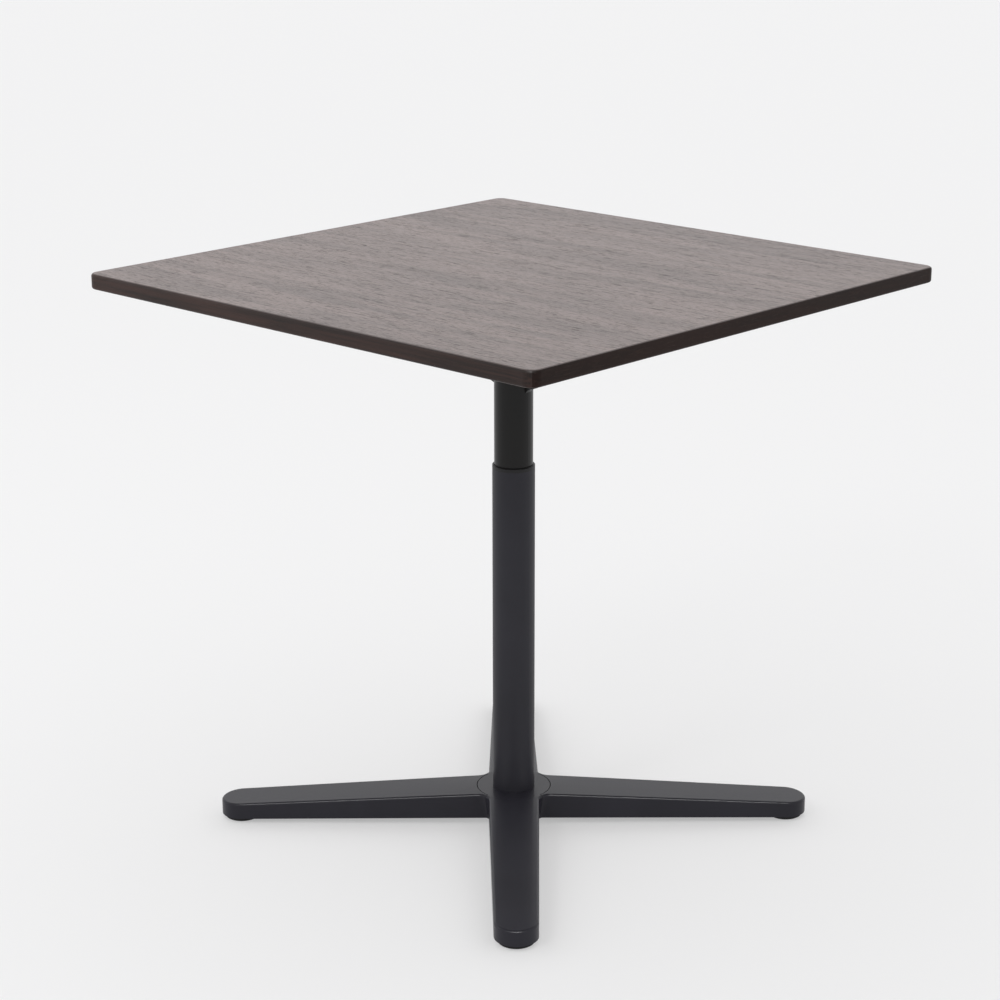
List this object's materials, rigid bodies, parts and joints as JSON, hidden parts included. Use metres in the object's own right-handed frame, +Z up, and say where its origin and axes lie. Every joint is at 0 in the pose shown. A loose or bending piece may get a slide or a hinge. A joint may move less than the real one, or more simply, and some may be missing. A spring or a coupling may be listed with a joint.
{
  "type": "bistro table",
  "caption": "Square flip-top bistro table with dark wood veneer top, telescoping black column and cast cross base on levelling glides.",
  "frame": {"origin": "on the floor, under the axis of the column", "axes": "+Z up; X and Y along the edges of the square top; the top tilts about an axis along X, with its +Y edge going down"},
  "size_m": [0.75, 0.75, 0.74],
  "materials": {
    "veneer": "dark stained open-pore wood veneer, satin lacquer",
    "lipping": "dark stained solid wood, satin lacquer",
    "core_board": "bare board",
    "cast_coat": "matte black fine-textured powder coat over cast aluminium",
    "powder_coat": "matte black fine-textured powder coat",
    "stem_coat": "satin black coat",
    "hardware_coat": "black coated steel",
    "steel": "zinc-plated steel",
    "black_plastic": "moulded black plastic",
    "pale_plastic": "natural bearing plastic",
    "glide_plastic": "black glide plastic",
    "rubber": "matte black rubber"
  },
  "bodies": {
    "base": {"side_leg_casting": "cast_coat", "front_leg_casting": "cast_coat", "hub_dowels": "steel", "base_bolt": "steel", "base_washer": "steel", "glide_inserts": "steel", "sleeve_tube": "powder_coat", "sleeve_plug": "steel", "guide_bush": "black_plastic", "gas_spring_cylinder": "hardware_coat", "gas_spring_gland": "steel"},
    "lift_column": {"stem_tube": "stem_coat", "slide_bush": "pale_plastic", "gas_spring_rod": "steel", "gas_spring_piston": "steel", "head_fork": "stem_coat", "stem_cross_pins": "steel", "release_lever_axle": "steel", "hinge_shaft": "steel", "clamp_pin": "steel", "hinge_washers": "steel", "hinge_spacer": "steel", "stop_buffers": "rubber"},
    "clamp": {"clamp_lever": "hardware_coat", "clamp_lever_grip": "black_plastic"},
    "release": {"release_lever": "hardware_coat", "release_lever_grip": "black_plastic"},
    "release_button": {"release_pin": "steel"},
    "table_top": {"top_veneer": "veneer", "backing_veneer": "veneer", "top_core": "core_board", "edge_lipping_right": "lipping", "edge_lipping_back": "lipping", "edge_lipping_left": "lipping", "edge_lipping_front": "lipping", "hinge_plate": "hardware_coat", "support_bar_left": "hardware_coat", "support_bar_right": "hardware_coat", "hinge_bracket_left": "hardware_coat", "hinge_bracket_right": "hardware_coat", "hinge_bush_left": "pale_plastic", "hinge_bush_right": "pale_plastic", "plate_screws": "steel", "bar_screws": "steel"},
    "glide_right": {"glide_pad_right": "glide_plastic", "glide_stud_right": "steel"},
    "glide_back": {"glide_pad_back": "glide_plastic", "glide_stud_back": "steel"},
    "glide_left": {"glide_pad_left": "glide_plastic", "glide_stud_left": "steel"},
    "glide_front": {"glide_pad_front": "glide_plastic", "glide_stud_front": "steel"}
  },
  "joints": [
    {"name": "height_adjust", "type": "slide", "parent": "base", "child": "lift_column", "axis": [0, 0, 1], "range_m": [-0.096, 0]},
    {"name": "top_tilt", "type": "hinge", "parent": "lift_column", "child": "table_top", "pos_m": [0, 0.012, 0.684], "axis": [-1, 0, 0], "range_deg": [0, 90]},
    {"name": "clamp_swing", "type": "hinge", "parent": "lift_column", "child": "clamp", "pos_m": [0.0573, 0.012, 0.684], "axis": [0, 0, 1], "range_deg": [0, 90]},
    {"name": "release_pull", "type": "hinge", "parent": "lift_column", "child": "release", "pos_m": [0, -0.012, 0.661], "axis": [-1, 0, 0], "range_deg": [0, 8], "stiffness_Nm_per_rad": 2, "springref_deg": -2.86},
    {"name": "release_press", "type": "slide", "parent": "lift_column", "child": "release_button", "axis": [0, 0, -1], "range_m": [0, 0.0017]},
    {"name": "glide_right_adjust", "type": "slide", "parent": "base", "child": "glide_right", "axis": [0, 0, -1], "range_m": [0, 0.006]},
    {"name": "glide_back_adjust", "type": "slide", "parent": "base", "child": "glide_back", "axis": [0, 0, -1], "range_m": [0, 0.006]},
    {"name": "glide_left_adjust", "type": "slide", "parent": "base", "child": "glide_left", "axis": [0, 0, -1], "range_m": [0, 0.006]},
    {"name": "glide_front_adjust", "type": "slide", "parent": "base", "child": "glide_front", "axis": [0, 0, -1], "range_m": [0, 0.006]}
  ],
  "couplings": [
    {"joint": "release_press", "follows": "release_pull", "m_per_rad": 0.012}
  ]
}
